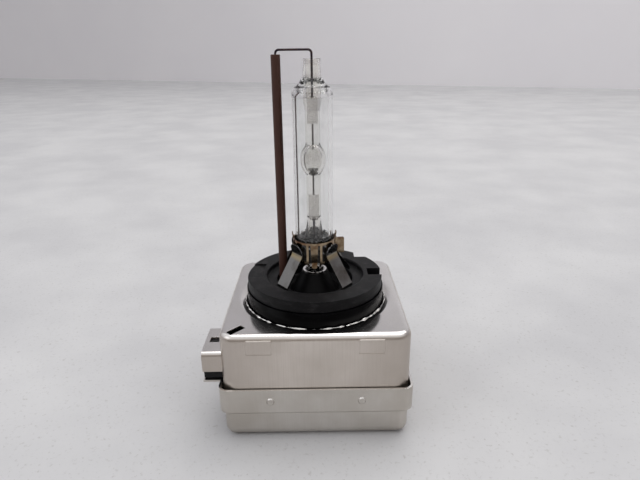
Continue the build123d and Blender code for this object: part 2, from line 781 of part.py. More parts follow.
# Circuit board along the front half of the housing
with BuildPart() as circuit_board:
    with BuildSketch(Plane.XY.offset(board_bottom)):
        with Locations((0, board_middle)):
            RectangleRounded(2 * board_half_length, board_back - board_front, board_corner)
    extrude(amount=board_thickness)
circuit_board.part.label = "circuit_board"
export_step(circuit_board.part, "parts/circuit_board.step")

# Ignition transformer, lying along X at the back of the housing
bobbin_flange_radius = bobbin_flange_diameter / 2
bobbin_end = housing_inner - bobbin_end_gap
transformer_z = cover_top + bobbin_flange_radius + bobbin_lift
section_pitch = (2 * bobbin_end - bobbin_flange_thickness) / winding_sections
section_length = section_pitch - bobbin_flange_thickness
bobbin_axis = (transformer_y, transformer_z)
with BuildPart() as transformer_core:
    with BuildSketch(Plane.YZ.offset(-bobbin_end + seat_gap)):
        with Locations(bobbin_axis):
            Circle(core_diameter / 2)
    extrude(amount=2 * (bobbin_end - seat_gap))
transformer_core.part.label = "transformer_core"
export_step(transformer_core.part, "parts/transformer_core.step")

with BuildPart() as transformer_bobbin:
    with BuildSketch(Plane.YZ.offset(-bobbin_end)):
        with Locations(bobbin_axis):
            Circle(bobbin_tube_diameter / 2)
    extrude(amount=2 * bobbin_end)
    for flange_number in range(winding_sections + 1):
        with BuildSketch(Plane.YZ.offset(-bobbin_end + flange_number * section_pitch)):
            with Locations(bobbin_axis):
                Circle(bobbin_flange_radius)
        extrude(amount=bobbin_flange_thickness)
    with BuildSketch(Plane.YZ.offset(-bobbin_end)):
        with Locations(bobbin_axis):
            Circle(core_diameter / 2 + slip / 2)
    extrude(amount=2 * bobbin_end, mode=Mode.SUBTRACT)
transformer_bobbin.part.label = "transformer_bobbin"
export_step(transformer_bobbin.part, "parts/transformer_bobbin.step")

for section_number in range(1, winding_sections + 1):
    section_start = -bobbin_end + (section_number - 1) * section_pitch + bobbin_flange_thickness
    with BuildPart() as secondary_section:
        with BuildSketch(Plane.YZ.offset(section_start)):
            with Locations(bobbin_axis):
                Circle(winding_diameter / 2)
                Circle(bobbin_tube_diameter / 2, mode=Mode.SUBTRACT)
        extrude(amount=section_length)
    secondary_section.part.label = f"secondary_section_{section_number}"
    export_step(secondary_section.part, f"parts/secondary_section_{section_number}.step")

# Primary: a foil turn over the section furthest from the high-voltage end
with BuildPart() as primary_winding:
    with BuildSketch(Plane.YZ.offset(-bobbin_end + bobbin_flange_thickness + slip * 2)):
        with Locations(bobbin_axis):
            Circle(winding_diameter / 2 + primary_foil)
            Circle(winding_diameter / 2, mode=Mode.SUBTRACT)
    extrude(amount=section_length - slip * 4)
primary_winding.part.label = "primary_winding"
export_step(primary_winding.part, "parts/primary_winding.step")

# High-voltage terminal: a cup under the lower lead and a strip to the end of the transformer
with BuildPart() as high_voltage_terminal:
    with BuildSketch(Plane.XY.offset(terminal_strip)):
        Circle(strip_width / 2)
        Circle(lead_radius, mode=Mode.SUBTRACT)
    extrude(amount=terminal_top - terminal_strip)
    with BuildSketch(Plane.XY.offset(terminal_strip)):
        Circle(strip_width / 2)
        with Locations(((bobbin_end + strip_thickness) / 2, 0)):
            Rectangle(bobbin_end + strip_thickness, strip_width)
    extrude(amount=-strip_thickness)
    with BuildSketch(Plane.YZ.offset(bobbin_end)):
        with BuildLine():
            Polyline(
                (-strip_width / 2, terminal_strip),
                (transformer_y + strip_width / 2, terminal_strip),
                (transformer_y + strip_width / 2, transformer_z - strip_width / 2),
                (transformer_y - strip_width / 2, transformer_z - strip_width / 2),
                (transformer_y - strip_width / 2, terminal_strip - strip_width),
                (-strip_width / 2, terminal_strip - strip_width),
                close=True,
            )
        make_face()
    extrude(amount=strip_thickness)
high_voltage_terminal.part.label = "high_voltage_terminal"
export_step(high_voltage_terminal.part, "parts/high_voltage_terminal.step")

# Return terminal: a cup around the return wire and a strip down to the circuit board
return_foot_y = return_y - return_foot_reach
with BuildPart() as return_terminal:
    with BuildSketch(Plane.XY.offset(return_strip)):
        with Locations((return_x, return_y)):
            Circle(return_cup_radius)
            Circle(wire_radius, mode=Mode.SUBTRACT)
    extrude(amount=return_cup_top - return_strip)
    with BuildSketch(Plane.YZ.offset(return_x)):
        with BuildLine():
            FilletPolyline(
                (return_y + return_cup_radius, return_strip),
                (return_foot_y, return_strip),
                (return_foot_y, board_top),
                radius=0.6,
            )
            offset(amount=strip_thickness, side=Side.LEFT)
        make_face()
    extrude(amount=strip_width / 2, both=True)
return_terminal.part.label = "return_terminal"
export_step(return_terminal.part, "parts/return_terminal.step")

# Spark gap: a ceramic barrel between two metal end caps with their legs on the board
spark_gap_x = housing_inner - spark_gap_inset_x
spark_gap_y = board_front + spark_gap_inset_y
spark_gap_z = board_top + spark_gap_diameter / 2 + spark_gap_lift
with BuildPart() as spark_gap_barrel:
    with BuildSketch(Plane.YZ.offset(spark_gap_x - spark_gap_length / 2)):
        with Locations((spark_gap_y, spark_gap_z)):
            Circle(spark_gap_diameter / 2)
    extrude(amount=spark_gap_length)
    chamfer(spark_gap_barrel.edges().filter_by(GeomType.CIRCLE), length=spark_gap_chamfer)
spark_gap_barrel.part.label = "spark_gap_barrel"
export_step(spark_gap_barrel.part, "parts/spark_gap_barrel.step")

cap_radius = spark_gap_diameter / 2 - spark_cap_rim
for cap_number, cap_side in enumerate((-1, 1), start=1):
    with BuildPart() as spark_gap_cap:
        with BuildSketch(Plane.YZ.offset(spark_gap_x + cap_side * spark_gap_length / 2)):
            with Locations((spark_gap_y, spark_gap_z)):
                Circle(cap_radius)
            with Locations((spark_gap_y, (spark_gap_z + board_top) / 2)):
                Rectangle(component_lead_diameter, spark_gap_z - board_top)
        extrude(amount=cap_side * spark_cap_length)
    spark_gap_cap.part.label = f"spark_gap_cap_{cap_number}"
    export_step(spark_gap_cap.part, f"parts/spark_gap_cap_{cap_number}.step")

# Ignition capacitor, bleed resistor and the choke beside the supply pins
with BuildPart() as ignition_capacitor:
    with BuildSketch(Plane.XY.offset(board_top)):
        with Locations((capacitor_x, board_front + capacitor_width / 2 + capacitor_inset)):
            Rectangle(capacitor_length, capacitor_width)
    extrude(amount=capacitor_height)
    fillet(ignition_capacitor.edges().filter_by(Axis.Z), radius=capacitor_corner)
ignition_capacitor.part.label = "ignition_capacitor"
export_step(ignition_capacitor.part, "parts/ignition_capacitor.step")

resistor_y = board_back - resistor_inset
resistor_z = board_top + resistor_diameter / 2 + resistor_lift
resistor_span = resistor_length / 2 + resistor_leg_reach
with BuildPart() as bleed_resistor:
    with BuildSketch(Plane.YZ.offset(-resistor_length / 2)):
        with Locations((resistor_y, resistor_z)):
            Circle(resistor_diameter / 2)
    extrude(amount=resistor_length)
    fillet(bleed_resistor.edges().filter_by(GeomType.CIRCLE), radius=resistor_end_round)
    with BuildSketch(Plane.YZ.offset(-resistor_span)):
        with Locations((resistor_y, resistor_z)):
            Circle(component_lead_diameter / 2)
    extrude(amount=2 * resistor_span)
    with BuildSketch(Plane.XY.offset(board_top)):
        with Locations((-resistor_span, resistor_y), (resistor_span, resistor_y)):
            Circle(component_lead_diameter / 2)
    extrude(amount=resistor_z - board_top)
bleed_resistor.part.label = "bleed_resistor"
export_step(bleed_resistor.part, "parts/bleed_resistor.step")

choke_x = choke_inset_x - housing_inner
choke_y = board_back - choke_inset_y
with BuildPart() as choke_core:
    with BuildSketch(Plane.XZ.offset(-choke_y)):
        with BuildLine():
            Polyline(
                (choke_x, board_top),
                (choke_x + choke_flange_diameter / 2, board_top),
                (choke_x + choke_flange_diameter / 2, board_top + choke_flange),
                (choke_x + choke_core_diameter / 2, board_top + choke_flange),
                (choke_x + choke_core_diameter / 2, board_top + choke_height - choke_flange),
                (choke_x + choke_flange_diameter / 2, board_top + choke_height - choke_flange),
                (choke_x + choke_flange_diameter / 2, board_top + choke_height),
                (choke_x, board_top + choke_height),
                close=True,
            )
        make_face()
    revolve(axis=Axis((choke_x, choke_y, 0), (0, 0, 1)))
choke_core.part.label = "choke_core"
export_step(choke_core.part, "parts/choke_core.step")

with BuildPart() as choke_winding:
    with BuildSketch(Plane.XY.offset(board_top + choke_flange)):
        with Locations((choke_x, choke_y)):
            Circle(choke_flange_diameter / 2 - choke_winding_rim)
            Circle(choke_core_diameter / 2, mode=Mode.SUBTRACT)
    extrude(amount=choke_height - 2 * choke_flange)
choke_winding.part.label = "choke_winding"
export_step(choke_winding.part, "parts/choke_winding.step")
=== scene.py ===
import math

import bmesh
import bpy
from mathutils import Matrix, Vector, noise


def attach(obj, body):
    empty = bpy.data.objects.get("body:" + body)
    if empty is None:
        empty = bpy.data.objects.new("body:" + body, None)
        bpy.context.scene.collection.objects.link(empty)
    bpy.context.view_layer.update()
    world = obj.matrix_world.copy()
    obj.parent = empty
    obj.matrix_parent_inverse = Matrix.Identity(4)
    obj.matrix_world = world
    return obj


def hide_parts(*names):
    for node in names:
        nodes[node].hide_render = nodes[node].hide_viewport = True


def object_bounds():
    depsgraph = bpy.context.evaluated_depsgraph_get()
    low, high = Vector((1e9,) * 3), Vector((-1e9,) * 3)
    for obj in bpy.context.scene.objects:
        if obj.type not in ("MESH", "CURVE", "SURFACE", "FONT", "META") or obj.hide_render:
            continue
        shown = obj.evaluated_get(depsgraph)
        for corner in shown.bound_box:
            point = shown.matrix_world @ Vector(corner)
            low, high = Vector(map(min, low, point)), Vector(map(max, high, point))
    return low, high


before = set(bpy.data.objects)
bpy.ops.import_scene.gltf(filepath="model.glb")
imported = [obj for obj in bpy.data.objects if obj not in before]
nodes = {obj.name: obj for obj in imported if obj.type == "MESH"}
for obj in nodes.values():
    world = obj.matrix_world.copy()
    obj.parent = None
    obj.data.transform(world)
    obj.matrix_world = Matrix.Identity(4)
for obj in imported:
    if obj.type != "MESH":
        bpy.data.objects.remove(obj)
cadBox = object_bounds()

# Gas-discharge headlight bulb: glass burner, steel clamp, black resin base, square aluminium igniter box.
scene = bpy.context.scene
mm = 0.001


def linear(hexColour):
    # sRGB hex to the linear colour that the shaders take
    parts = [int(hexColour[i:i + 2], 16) / 255 for i in (1, 3, 5)]
    return [c / 12.92 if c <= 0.04045 else ((c + 0.055) / 1.055) ** 2.4 for c in parts] + [1]


def addNode(tree, kind, settings):
    # a lower-case key is a property of the node, any other key is one of its inputs
    node = tree.nodes.new("ShaderNode" + kind)
    for key, value in settings.items():
        if isinstance(key, str) and key[0].islower():
            setattr(node, key, value)
        elif isinstance(value, bpy.types.NodeSocket):
            tree.links.new(value, node.inputs[key])
        else:
            node.inputs[key].default_value = value
    return node


def newMaterial(name, settings):
    # a principled shader with its plain values set, and the object coordinates in metres
    material = bpy.data.materials.new(name)
    material.use_nodes = True
    tree = material.node_tree
    tree.nodes.clear()
    shader = addNode(tree, "BsdfPrincipled", settings)
    addNode(tree, "OutputMaterial", {"Surface": shader.outputs[0]})
    place = addNode(tree, "TexCoord", {}).outputs["Object"]
    return material, tree, shader, place


def patches(tree, place, sizeMm, stretch=(1, 1, 1), detail=3.0, edge=0.55):
    # noise whose blobs are about sizeMm across, drawn out along an axis with a small stretch value
    scale = 1 / (sizeMm * mm)
    moved = addNode(tree, "VectorMath", {"operation": "MULTIPLY", 0: place, 1: [scale * s for s in stretch]})
    made = {"Vector": moved.outputs[0], "Scale": 1.0, "Detail": detail, "Roughness": edge}
    return addNode(tree, "TexNoise", made).outputs["Fac"]


def spread(tree, value, low, high, start=0.35, end=0.65):
    # a 0 to 1 pattern turned to the range low to high
    return addNode(tree, "MapRange", {"Value": value, 1: start, 2: end, 3: low, 4: high}).outputs[0]


def blendColours(tree, amount, first, second):
    # first and second are hex colours or colour sockets
    made = {"data_type": "RGBA", 0: amount}
    for key, colour in ((6, first), (7, second)):
        made[key] = linear(colour) if isinstance(colour, str) else colour
    return addNode(tree, "Mix", made).outputs[2]


def relief(tree, shader, layers, edgeMm=0.0):
    # bump layers, each a pattern and its depth in millimetres, over softly rounded edges
    normal = None
    if edgeMm:
        normal = addNode(tree, "Bevel", {"samples": 4, "Radius": edgeMm * mm}).outputs[0]
    for height, depthMm in layers:
        made = {"Height": height, "Distance": depthMm * mm, "Strength": 1.0}
        if normal:
            made["Normal"] = normal
        normal = addNode(tree, "Bump", made).outputs[0]
    tree.links.new(normal, shader.inputs["Normal"])


def join(tree, value, shader, socket):
    tree.links.new(value, shader.inputs[socket])


def drawnAluminium(name, look):
    # Deep-drawn aluminium sheet, degreased and left bare. The flat top keeps the rolled mirror of the sheet;
    # its colour is painted lighter, as painted light on the faces turned up.
    # The walls are dulled by the die to a rougher finish, with fine upright draw lines; their colour is
    # painted darker and warmer as painted shade, darker still towards the corners.
    # Handling smudges cloud both.
    material, tree, shader, place = newMaterial(name, {"Metallic": 1.0})
    smudge = patches(tree, place, look["smudgeMm"], detail=4)
    lines = patches(tree, place, look["lineMm"], stretch=(1, 1, 0.02), detail=2)
    grain = patches(tree, place, look["grainMm"], detail=2)
    up = addNode(tree, "SeparateXYZ", {0: addNode(tree, "NewGeometry", {}).outputs["Normal"]}).outputs["Z"]
    topRoughness = spread(tree, smudge, *look["flatRoughness"])
    wallRoughness = spread(tree, smudge, *look["wallRoughness"])
    # painted light and shade: faces turned up take the lighter flat colours, the walls the darker wall
    # colours
    flat = spread(tree, up, 0, 1, *look["flatFrom"])
    clouded = spread(tree, smudge, 0, 1)
    walls = blendColours(tree, clouded, look["wall"], look["wallDull"])
    away = addNode(tree, "VectorMath", {"operation": "ABSOLUTE", 0: place}).outputs[0]
    sides = addNode(tree, "SeparateXYZ", {0: away}).outputs
    fromMiddle = addNode(tree, "Math", {"operation": "MINIMUM", 0: sides["X"], 1: sides["Y"]}).outputs[0]
    # painted shade: the walls are darkened towards the corners of the box
    paintedCornerShade = spread(tree, fromMiddle, 0, look["cornerShadeAmount"], *[d * mm for d in look["cornerShadeMm"]])
    walls = blendColours(tree, paintedCornerShade, walls, look["corner"])
    drawn = spread(tree, lines, 0, look["lineTint"], *look["lineFrom"])
    walls = blendColours(tree, drawn, walls, look["line"])
    paintedLitTops = blendColours(tree, clouded, look["flat"], look["flatDull"])
    join(tree, blendColours(tree, flat, walls, paintedLitTops), shader, "Base Color")
    rough = addNode(tree, "Mix", {0: flat, 2: wallRoughness, 3: topRoughness}).outputs[0]
    join(tree, rough, shader, "Roughness")
    wave = patches(tree, place, look["waveMm"], detail=1)
    layers = [(wave, look["waveDepthMm"]), (lines, look["lineDepthMm"]), (grain, look["grainDepthMm"])]
    relief(tree, shader, layers, edgeMm=look["edgeMm"])
    return material


# flat and flatDull are painted light on the top; wall and wallDull are painted shade on the walls, and corner
# is painted shade darkening the walls near the corners
upperSheetLook = {
    "flat": "#EEECEA", "flatDull": "#E4E2DF", "wall": "#DAD2CA", "wallDull": "#CEC6BD", "line": "#B8AEA4",
    "lineTint": 0.25, "lineFrom": (0.4, 0.75), "flatFrom": (0.5, 0.98), "flatRoughness": (0.11, 0.18),
    "wallRoughness": (0.32, 0.4), "smudgeMm": 11.0, "lineMm": 0.22, "lineDepthMm": 0.001, "grainMm": 0.12,
    "grainDepthMm": 0.0006, "waveMm": 9.0, "waveDepthMm": 0.02, "edgeMm": 0.12,
    "corner": "#A89E95", "cornerShadeAmount": 0.55, "cornerShadeMm": (6, 19),
}
lowerSheetLook = dict(upperSheetLook, wall="#D2CEC8", wallDull="#C4BFB7", wallRoughness=(0.34, 0.42),
                      lineTint=0.15, cornerShadeAmount=0.15)
upperSheet = drawnAluminium("drawnAluminiumSatin", upperSheetLook)
lowerSheet = drawnAluminium("drawnAluminiumDull", lowerSheetLook)


def glassFilledResin(name, look):
    # Moulded resin with glass fibre: black, faint fibre grain, and grey scuffs where it has been handled. The
    # middle, round the lamp, is painted a deeper black as painted shade in the recess there.
    material, tree, shader, place = newMaterial(name, {"IOR": 1.55, "Specular IOR Level": look["gloss"]})
    scuff = patches(tree, place, look["scuffMm"], stretch=(1, 1, 2.5), detail=6, edge=0.7)
    grain = patches(tree, place, look["grainMm"], detail=2)
    rubbed = spread(tree, scuff, 0, look["scuffTint"], 0.5, 0.72)
    tone = blendColours(tree, rubbed, look["colour"], look["scuff"])
    flat = addNode(tree, "VectorMath", {"operation": "MULTIPLY", 0: place, 1: (1, 1, 0)}).outputs[0]
    fromAxis = addNode(tree, "VectorMath", {"operation": "LENGTH", 0: flat}).outputs["Value"]
    # painted shade: a deeper black near the axis, where the recess round the lamp lies in shade
    paintedRecessShade = spread(tree, fromAxis, 1, 0, look["recessShadeMm"] * mm, (look["recessShadeMm"] + 1) * mm)
    join(tree, blendColours(tree, paintedRecessShade, tone, look["recessShadeColour"]), shader, "Base Color")
    join(tree, spread(tree, grain, look["roughness"][0], look["roughness"][1]), shader, "Roughness")
    relief(tree, shader, [(grain, look["grainDepthMm"])], edgeMm=look["edgeMm"])
    return material


flangeLook = {
    "colour": "#09090B", "scuff": "#343234", "scuffTint": 0.6, "roughness": (0.42, 0.56), "gloss": 0.13,
    "scuffMm": 3.0, "grainMm": 0.16, "grainDepthMm": 0.006, "edgeMm": 0.22,
    # painted shade: deeper black inside this radius, in the shaded recess round the lamp
    "recessShadeMm": 7.6, "recessShadeColour": "#020203",
}
neckLook = dict(flangeLook, recessShadeMm=1.0, colour="#020203", scuff="#0B0B0D", scuffTint=0.3,
                roughness=(0.15, 0.22), gloss=0.04, grainDepthMm=0.001)
socketLook = dict(flangeLook, recessShadeMm=1.0, colour="#1B1B1D", scuff="#38383A", roughness=(0.42, 0.52),
                  edgeMm=0.12)
flangeResin = glassFilledResin("glassFilledResinMatt", flangeLook)
neckResin = glassFilledResin("glassFilledResinGloss", neckLook)
socketResin = glassFilledResin("mouldedSocketResin", socketLook)


def rolledSteel(name, look):
    # Thin rolled spring steel: bright satin with fine rolling lines along the strip. Bands of colour are laid
    # on at set heights: a straw band and a dark grey band on the straps, and on the collar a dark brown band
    # round its upper part that is a painted reflection of the black base.
    material, tree, shader, place = newMaterial(name, {"Metallic": 1.0})
    heat = patches(tree, place, look["heatMm"], detail=3)
    rise = addNode(tree, "SeparateXYZ", {0: place}).outputs["Z"]
    lines = patches(tree, place, look["lineMm"], stretch=look["lineStretch"], detail=2)
    warmed = spread(tree, heat, 0, 1, look["heatStart"], look["heatEnd"])
    tone = blendColours(tree, warmed, look["steel"], look["tint"])
    tone = blendColours(tree, spread(tree, lines, 0, 0.35), tone, look["line"])
    # colour bands at set heights, broken up by the patch noise
    for lowMm, highMm, weakest, colour in look["bands"]:
        height = spread(tree, rise, 0, 1, lowMm * mm, highMm * mm)
        patchy = spread(tree, heat, weakest, 1)
        strength = addNode(tree, "Math", {"operation": "MULTIPLY", 0: height, 1: patchy})
        tone = blendColours(tree, strength.outputs[0], tone, colour)
    join(tree, tone, shader, "Base Color")
    join(tree, spread(tree, lines, look["roughness"][0], look["roughness"][1]), shader, "Roughness")
    relief(tree, shader, [(lines, look["lineDepthMm"])], edgeMm=look["edgeMm"])
    return material


strapLook = {
    "steel": "#868583", "tint": "#5F5A55", "line": "#63605D", "heatMm": 5.0, "heatStart": 0.5, "heatEnd": 0.7,
    "lineMm": 0.1, "lineStretch": (1, 1, 0.08), "lineDepthMm": 0.0006, "roughness": (0.12, 0.2),
    "edgeMm": 0.06,
    # a straw band and a dark grey band at set heights
    "bands": [(4.6, 5.3, 0.35, "#A8966F"), (5.6, 6.2, 0.9, "#5C5D60")],
}
# painted reflection: the collar's dark brown band stands in for the black base mirrored in its faces
collarLook = dict(strapLook, bands=[(7.6, 9.0, 0.0, "#6B4A36")], steel="#A6967E", tint="#5C442E",
                  line="#7A664E", heatMm=2.4, heatStart=0.4, heatEnd=0.66, roughness=(0.1, 0.18))
strapSteel = rolledSteel("springSteelStrip", strapLook)
collarSteel = rolledSteel("springSteelHeatTinted", collarLook)


def firedCeramic(name, look):
    # Fired alumina tube stained brown: dense, dry surface with a fine speckle.
    material, tree, shader, place = newMaterial(name, {"IOR": 1.6, "Specular IOR Level": look["gloss"]})
    speck = patches(tree, place, look["speckMm"], detail=4, edge=0.7)
    shade = patches(tree, place, look["shadeMm"], stretch=(1, 1, 0.3), detail=2)
    tone = blendColours(tree, spread(tree, shade, 0, 1), look["colour"], look["shade"])
    tone = blendColours(tree, spread(tree, speck, 0, 0.5, 0.55, 0.75), tone, look["speck"])
    join(tree, tone, shader, "Base Color")
    join(tree, spread(tree, speck, look["roughness"][0], look["roughness"][1]), shader, "Roughness")
    relief(tree, shader, [(speck, look["speckDepthMm"])], edgeMm=0.05)
    return material


tubeLook = {
    "gloss": 0.25, "colour": "#4D3127", "shade": "#3E261E", "shadeMm": 5.0,
    "speck": "#5E4236", "speckMm": 0.12, "speckDepthMm": 0.006, "roughness": (0.5, 0.68),
}
gapLook = dict(tubeLook, colour="#E7E3DA", shade="#D9D4C8", speck="#F4F1EA", roughness=(0.15, 0.25),
               speckDepthMm=0.001, gloss=0.5)
brownCeramic = firedCeramic("firedBrownCeramic", tubeLook)
gapCeramic = firedCeramic("glazedWhiteCeramic", gapLook)


def metalSurface(name, look):
    # A small metal part with a lightly uneven surface: two tones, a roughness spread and a little relief.
    plain = {"Metallic": look.get("metallic", 1.0), "Alpha": look.get("alpha", 1.0)}
    material, tree, shader, place = newMaterial(name, plain)
    mottle = patches(tree, place, look["mottleMm"], stretch=look.get("stretch", (1, 1, 1)), detail=3)
    tone = blendColours(tree, spread(tree, mottle, 0, 1), look["colour"], look["second"])
    join(tree, tone, shader, "Base Color")
    join(tree, spread(tree, mottle, look["roughness"][0], look["roughness"][1]), shader, "Roughness")
    relief(tree, shader, [(mottle, look["depthMm"])], edgeMm=look.get("edgeMm", 0.0))
    return material


metalLooks = {
    # Sintered and drawn tungsten: dark grey, softly bright
    "drawnTungsten": {"colour": "#7C7874", "second": "#5A5550", "mottleMm": 0.2, "stretch": (1, 1, 0.2),
                      "roughness": (0.3, 0.45), "depthMm": 0.003},
    # Etched molybdenum foil: pale, warm and nearly matt. The real one is a few hundredths of a millimetre
    # thick and hardly shows in the glass, so most of the light is let through
    "etchedMolybdenum": {"colour": "#F6F0E6", "second": "#E9E0D2", "mottleMm": 0.5, "metallic": 0.15,
                         "alpha": 0.28, "roughness": (0.4, 0.55), "depthMm": 0.004},
    # Wire that has run hot: brown-black oxide with a trace of purple
    "oxidisedWire": {"colour": "#4A3B3A", "second": "#2E2734", "mottleMm": 0.8, "metallic": 0.75,
                     "roughness": (0.35, 0.5), "depthMm": 0.006},
    # Bright nickel plate on the crown
    "brightNickel": {"colour": "#EDECEA", "second": "#DAD8D4", "mottleMm": 0.6, "roughness": (0.1, 0.2),
                     "depthMm": 0.003, "edgeMm": 0.05},
    # Tinned contact strip: pale, slightly cloudy
    "tinnedBrass": {"colour": "#D6D2C8", "second": "#BDB7A8", "mottleMm": 1.2, "roughness": (0.2, 0.35),
                    "depthMm": 0.003, "edgeMm": 0.05},
}
metals = {name: metalSurface(name, look) for name, look in metalLooks.items()}

print("outer materials made")


def fusedQuartz(name, look):
    # Fused quartz drawn into tube: clear and colourless, with long faint ripples that bend what is behind it.
    material, tree, shader, place = newMaterial(name, {"Transmission Weight": 1.0, "IOR": 1.458})
    ripple = patches(tree, place, look["rippleMm"], stretch=(1, 1, 0.06), detail=1)
    haze = patches(tree, place, look["hazeMm"], detail=3)
    tone = blendColours(tree, spread(tree, haze, 0, 1), look["clear"], look["hazed"])
    join(tree, tone, shader, "Base Color")
    join(tree, spread(tree, haze, 0.0, look["hazeRoughness"], 0.5, 0.75), shader, "Roughness")
    relief(tree, shader, [(ripple, look["rippleDepthMm"])])
    return material


envelopeLook = {
    "clear": "#FDFDFD", "hazed": "#F4F5F4", "rippleMm": 1.6, "rippleDepthMm": 0.012,
    "hazeMm": 5.0, "hazeRoughness": 0.02,
}
chamberLook = dict(envelopeLook, clear="#FAF9F7", hazed="#F3F1ED")
envelopeQuartz = fusedQuartz("fusedQuartzClear", envelopeLook)
chamberQuartz = fusedQuartz("fusedQuartzInner", chamberLook)


def depositAndShadeFilm(name, look):
    # Metal and salt settled on the glass, and dark sheets of painted shade: thin patches that let the light
    # through between them.
    material, tree, shader, place = newMaterial(name, {"IOR": 1.5})
    blot = patches(tree, place, look["blotMm"], detail=4, edge=0.65)
    tone = blendColours(tree, spread(tree, blot, 0, 1), look["thin"], look["thick"])
    join(tree, tone, shader, "Base Color")
    join(tree, spread(tree, blot, *look["alpha"], look["start"], look["end"]), shader, "Alpha")
    join(tree, spread(tree, blot, 0.6, 0.3), shader, "Roughness")
    relief(tree, shader, [(blot, 0.02)])
    return material


chamberFilm = depositAndShadeFilm("chamberDepositFilm", {
    "thin": "#8F8A80", "thick": "#4A443B", "alpha": (0.02, 0.2), "start": 0.4, "end": 0.8, "blotMm": 1.1,
})
saltFilm = depositAndShadeFilm("saltPoolFilm", {
    "thin": "#6B6148", "thick": "#2E2A22", "alpha": (0.35, 0.95), "start": 0.35, "end": 0.55, "blotMm": 0.6,
})
# painted shade: dark blotches at the lower seal
paintedSealShade = depositAndShadeFilm("paintedSealShadeFilm", {
    "thin": "#5A5855", "thick": "#1F1E1E", "alpha": (0.0, 0.96), "start": 0.44, "end": 0.52, "blotMm": 1.0,
})
# painted shade: a dark sheet behind the collar's windows
paintedCollarShade = depositAndShadeFilm("paintedCollarShadeFilm", {
    "thin": "#2A2724", "thick": "#161514", "alpha": (0.7, 0.98), "start": 0.35, "end": 0.55, "blotMm": 0.9,
})


def enamelledCopper(name, look):
    # Enamelled copper wire laid in close turns: copper red under varnish, one ridge for each turn, and
    # painted shade darkening the groove between turns.
    varnish = {"Metallic": 1.0, "Coat Weight": 0.6, "Coat Roughness": 0.1}
    material, tree, shader, place = newMaterial(name, varnish)
    scale = 1 / (look["turnMm"] * mm * 2 * math.pi)
    wound = {"bands_direction": "Z", "Vector": place, "Scale": scale, "Distortion": 0.4, "Detail": 1.0}
    turns = addNode(tree, "TexWave", wound).outputs["Fac"]
    mottle = patches(tree, place, 2.0)
    tone = blendColours(tree, spread(tree, mottle, 0, 1), look["light"], look["dark"])
    # painted shade: the grooves between the turns are darkened
    paintedGrooveShade = spread(tree, turns, 0.5, 0.0, 0.0, 0.4)
    join(tree, blendColours(tree, paintedGrooveShade, tone, look["gap"]), shader, "Base Color")
    join(tree, spread(tree, mottle, 0.25, 0.38), shader, "Roughness")
    relief(tree, shader, [(turns, look["ridgeMm"])])
    return material


# gap is painted shade in the grooves between the turns
copper = enamelledCopper("enamelledCopperTurns", {
    "light": "#C2743F", "dark": "#A45A2C", "gap": "#4B2815", "turnMm": 0.3, "ridgeMm": 0.09,
})


def speckledSolid(name, look):
    # Board laminate, ferrite, dipped parts and other plain bodies: a base tone, a second tone in grains and a
    # light relief.
    material, tree, shader, place = newMaterial(name, {"IOR": look.get("ior", 1.5)})
    grain = patches(tree, place, look["grainMm"], stretch=look.get("stretch", (1, 1, 1)), detail=4, edge=0.6)
    cloud = patches(tree, place, look["cloudMm"], detail=2)
    tone = blendColours(tree, spread(tree, cloud, 0, 1), look["colour"], look["cloud"])
    speckle = spread(tree, grain, 0, look["grainTint"], 0.5, 0.7)
    join(tree, blendColours(tree, speckle, tone, look["grain"]), shader, "Base Color")
    join(tree, spread(tree, grain, look["roughness"][0], look["roughness"][1]), shader, "Roughness")
    relief(tree, shader, [(grain, look["depthMm"])], edgeMm=look["edgeMm"])
    return material


solidLooks = {
    # Glass-cloth laminate under solder varnish: green, with the cloth just showing
    "boardLaminate": {"colour": "#2F5A3C", "cloud": "#284F34", "cloudMm": 4.0, "grain": "#4A7854",
                      "grainTint": 0.4, "grainMm": 0.35, "roughness": (0.3, 0.42), "depthMm": 0.005,
                      "edgeMm": 0.1},
    # Pressed and fired ferrite: dark grey, slightly sparkling, with sharp small pits
    "pressedFerrite": {"colour": "#38383B", "cloud": "#2E2E31", "cloudMm": 2.0, "grain": "#5A5A5E",
                       "grainTint": 0.5, "grainMm": 0.1, "roughness": (0.5, 0.7), "depthMm": 0.01,
                       "edgeMm": 0.15},
    # Moulded polyester bobbin: off-white with flow marks
    "mouldedBobbin": {"colour": "#CFCABB", "cloud": "#C2BBA8", "cloudMm": 5.0, "grain": "#DDD9CC",
                      "grainTint": 0.3, "grainMm": 0.3, "stretch": (1, 1, 0.3), "roughness": (0.38, 0.5),
                      "depthMm": 0.004, "edgeMm": 0.1},
    # Dipped epoxy on the capacitor and resistor: smooth blue-grey skin
    "dippedEpoxy": {"colour": "#3E5B78", "cloud": "#365069", "cloudMm": 3.0, "grain": "#5B7894",
                    "grainTint": 0.3, "grainMm": 0.5, "roughness": (0.2, 0.35), "depthMm": 0.01,
                    "edgeMm": 0.3},
}
solids = {name: speckledSolid(name, look) for name, look in solidLooks.items()}
print("glass and inner materials made")

